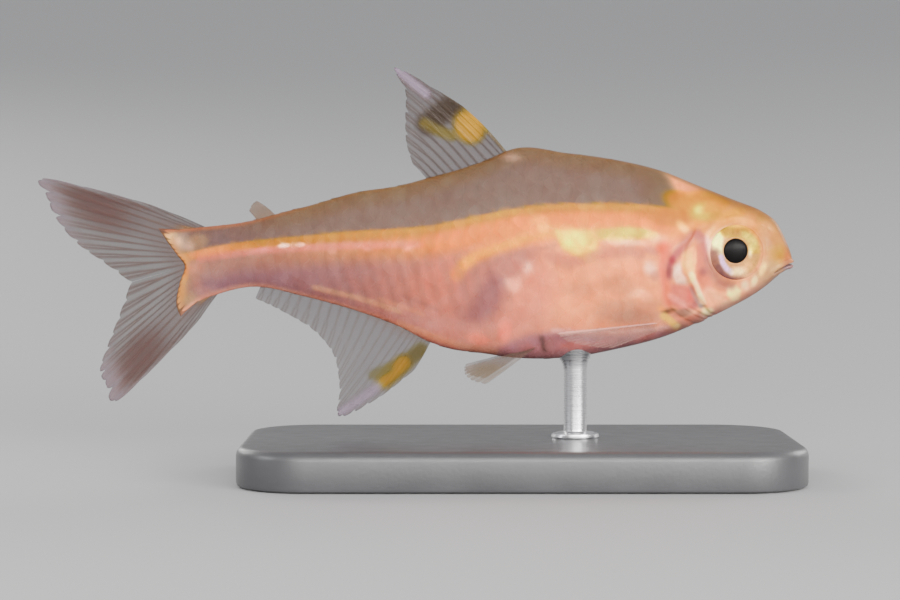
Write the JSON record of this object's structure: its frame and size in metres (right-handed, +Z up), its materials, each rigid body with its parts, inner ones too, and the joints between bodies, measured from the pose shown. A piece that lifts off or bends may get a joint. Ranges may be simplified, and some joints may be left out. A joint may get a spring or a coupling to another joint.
{
  "type": "tropical fish display model",
  "caption": "Life-size golden tetra with spotted dorsal and anal fins and a forked tail, held over a flat base by one rod.",
  "frame": {"origin": "centre of the stand base's underside, where it rests on a table", "axes": "+X towards the fish's snout, +Y to the fish's left, +Z up"},
  "size_m": [0.0427, 0.017, 0.0228],
  "materials": {
    "golden_skin": "wet fish skin, salmon gold with a bright gold side stripe, slightly translucent",
    "eye": "glossy, silver-gold iris round a black pupil",
    "dorsal_fin": "clear membrane with a yellow patch, a dark band and a white tip",
    "anal_fin": "clear membrane with a yellow patch and a white tip",
    "adipose_fin": "clear",
    "caudal_fin": "clear membrane tinted reddish brown, cream at the root",
    "pectoral_fin": "clear membrane with whitish rays",
    "pelvic_fin": "clear membrane, faintly brown",
    "stand_base": "satin black",
    "stand_rod": "brushed"
  },
  "bodies": {
    "root": {"head": "golden_skin", "trunk": "golden_skin", "tail": "golden_skin", "right_eye": "eye", "left_eye": "eye", "dorsal_fin": "dorsal_fin", "adipose_fin": "adipose_fin", "anal_fin": "anal_fin", "caudal_fin_upper": "caudal_fin", "caudal_fin_lower": "caudal_fin", "right_pectoral_fin": "pectoral_fin", "left_pectoral_fin": "pectoral_fin", "right_pelvic_fin": "pelvic_fin", "left_pelvic_fin": "pelvic_fin", "stand_base": "stand_base", "stand_rod": "stand_rod"}
  },
  "joints": []
}
